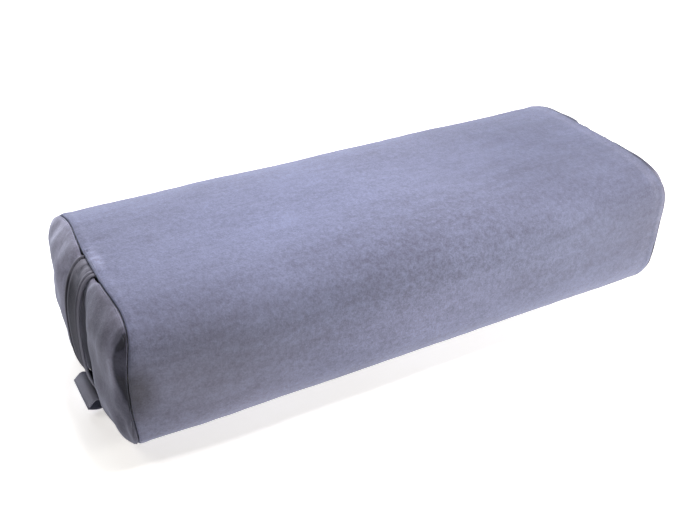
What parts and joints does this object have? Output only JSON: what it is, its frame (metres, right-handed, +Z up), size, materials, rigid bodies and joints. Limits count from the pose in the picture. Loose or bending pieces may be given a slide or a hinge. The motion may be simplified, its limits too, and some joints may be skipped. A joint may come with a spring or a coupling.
{
  "type": "rectangular yoga bolster",
  "caption": "Rectangular stuffed yoga bolster with a zipped faux suede cover, a bowed carry handle sewn across each end and a bare fabric tab in one seam.",
  "frame": {"origin": "on the resting plane, under the middle of the bolster", "axes": "+X runs along the bolster, away from the end that has the fabric tab; +Z is up; the zip is on the +Y face"},
  "size_m": [0.6667, 0.2682, 0.16],
  "materials": {
    "suede": "brushed blue-grey faux suede",
    "suede_end": "brushed blue-grey faux suede, in shade",
    "suede_strap": "folded and stitched faux suede",
    "label_tape": "bare folded tape",
    "zip_tape": "woven polyester",
    "zip_teeth": "moulded, satin",
    "zip_metal": "dark enamel",
    "liner_cotton": "plain unbleached cotton",
    "batting": "loose polyester fibre",
    "foam": "cut polyurethane foam"
  },
  "bodies": {
    "bolster": {"cover_wrap": "suede", "cover_end_left": "suede_end", "cover_end_right": "suede_end", "handle_left": "suede_strap", "handle_right": "suede_strap", "seam_tab": "label_tape", "zip_tape_upper": "zip_tape", "zip_tape_lower": "zip_tape", "zip_teeth_upper": "zip_teeth", "zip_teeth_lower": "zip_teeth", "zip_top_stop_upper": "zip_teeth", "zip_top_stop_lower": "zip_teeth", "zip_bottom_stop": "zip_teeth", "liner_wrap": "liner_cotton", "liner_end_left": "liner_cotton", "liner_end_right": "liner_cotton", "batting_wrap": "batting", "batting_end_left": "batting", "batting_end_right": "batting", "foam_slab_lower": "foam", "foam_slab_middle": "foam", "foam_slab_upper": "foam"},
    "slider": {"zip_slider": "zip_metal"},
    "pull": {"zip_pull": "zip_metal"}
  },
  "joints": [
    {"name": "zip_travel", "type": "slide", "parent": "bolster", "child": "slider", "axis": [-1, 0, 0], "range_m": [0, 0.531], "deforming": ["zip_teeth_upper", "zip_teeth_lower"]},
    {"name": "pull_swing", "type": "hinge", "parent": "slider", "child": "pull", "pos_m": [0.2655, 0.13435, 0.08], "axis": [0, 0, -1], "range_deg": [0, 180]}
  ]
}
